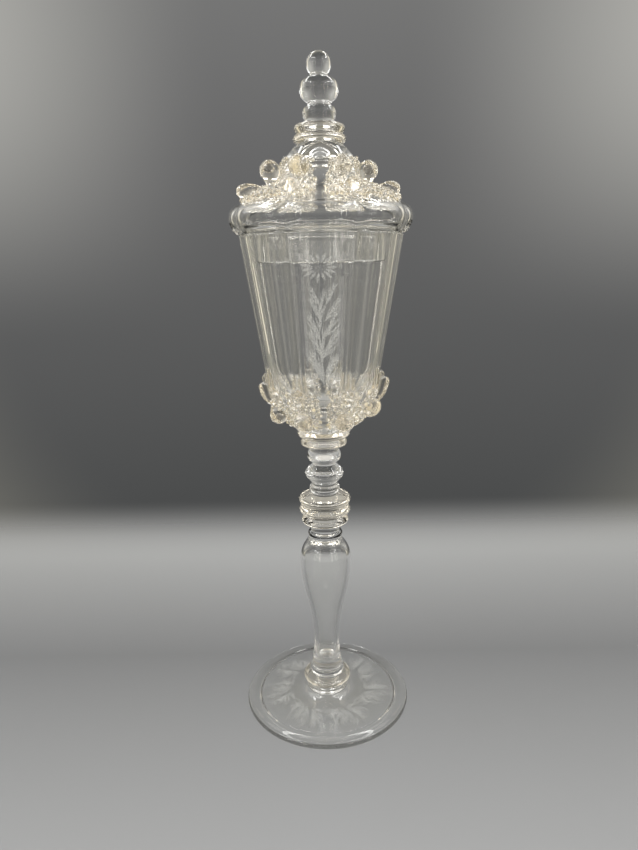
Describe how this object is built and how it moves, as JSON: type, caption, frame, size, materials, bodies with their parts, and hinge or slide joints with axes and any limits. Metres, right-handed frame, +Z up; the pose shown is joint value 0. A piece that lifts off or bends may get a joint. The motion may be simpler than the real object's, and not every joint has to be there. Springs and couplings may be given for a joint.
{
  "type": "covered goblet",
  "caption": "Tall clear glass goblet: folded foot, hollow baluster and knopped stem, lobed conical bowl with applied trails, and a domed lift-off cover with a finial.",
  "frame": {"origin": "centre of the foot, on the table", "axes": "+Z up along the axis of the goblet; the engraved front of the bowl faces -Y"},
  "size_m": [0.124, 0.124, 0.4521],
  "materials": {
    "clear_glass": "fire-polished blown glass, slightly grey",
    "warm_glass": "thick hot-worked glass, slightly straw coloured"
  },
  "bodies": {
    "goblet": {"foot": "clear_glass", "foot_cushion": "warm_glass", "stem_button": "clear_glass", "baluster": "clear_glass", "stem_neck": "clear_glass", "stem_merese_low": "warm_glass", "stem_merese_mid": "warm_glass", "stem_merese_top": "warm_glass", "stem_knop_low": "clear_glass", "stem_knop_mid": "clear_glass", "stem_knop_top": "clear_glass", "bowl_merese_low": "warm_glass", "bowl_merese_top": "warm_glass", "bowl": "clear_glass", "bowl_trail_1": "warm_glass", "bowl_trail_2": "warm_glass", "bowl_trail_3": "warm_glass", "bowl_trail_4": "warm_glass", "bowl_trail_5": "warm_glass", "bowl_trail_6": "warm_glass", "bowl_trail_7": "warm_glass", "bowl_trail_8": "warm_glass"},
    "lid": {"lid": "clear_glass", "lid_merese_low": "warm_glass", "lid_merese_top": "warm_glass", "finial_knop_low": "clear_glass", "finial_knop_mid": "clear_glass", "finial_ball": "clear_glass", "lid_trail_1": "warm_glass", "lid_trail_2": "warm_glass", "lid_trail_3": "warm_glass", "lid_trail_4": "warm_glass", "lid_trail_5": "warm_glass", "lid_trail_6": "warm_glass", "lid_trail_7": "warm_glass", "lid_trail_8": "warm_glass"}
  },
  "joints": [
    {"name": "lid_lift", "type": "slide", "parent": "goblet", "child": "lid", "axis": [0, 0, 1], "range_m": [0, 0.1]}
  ]
}
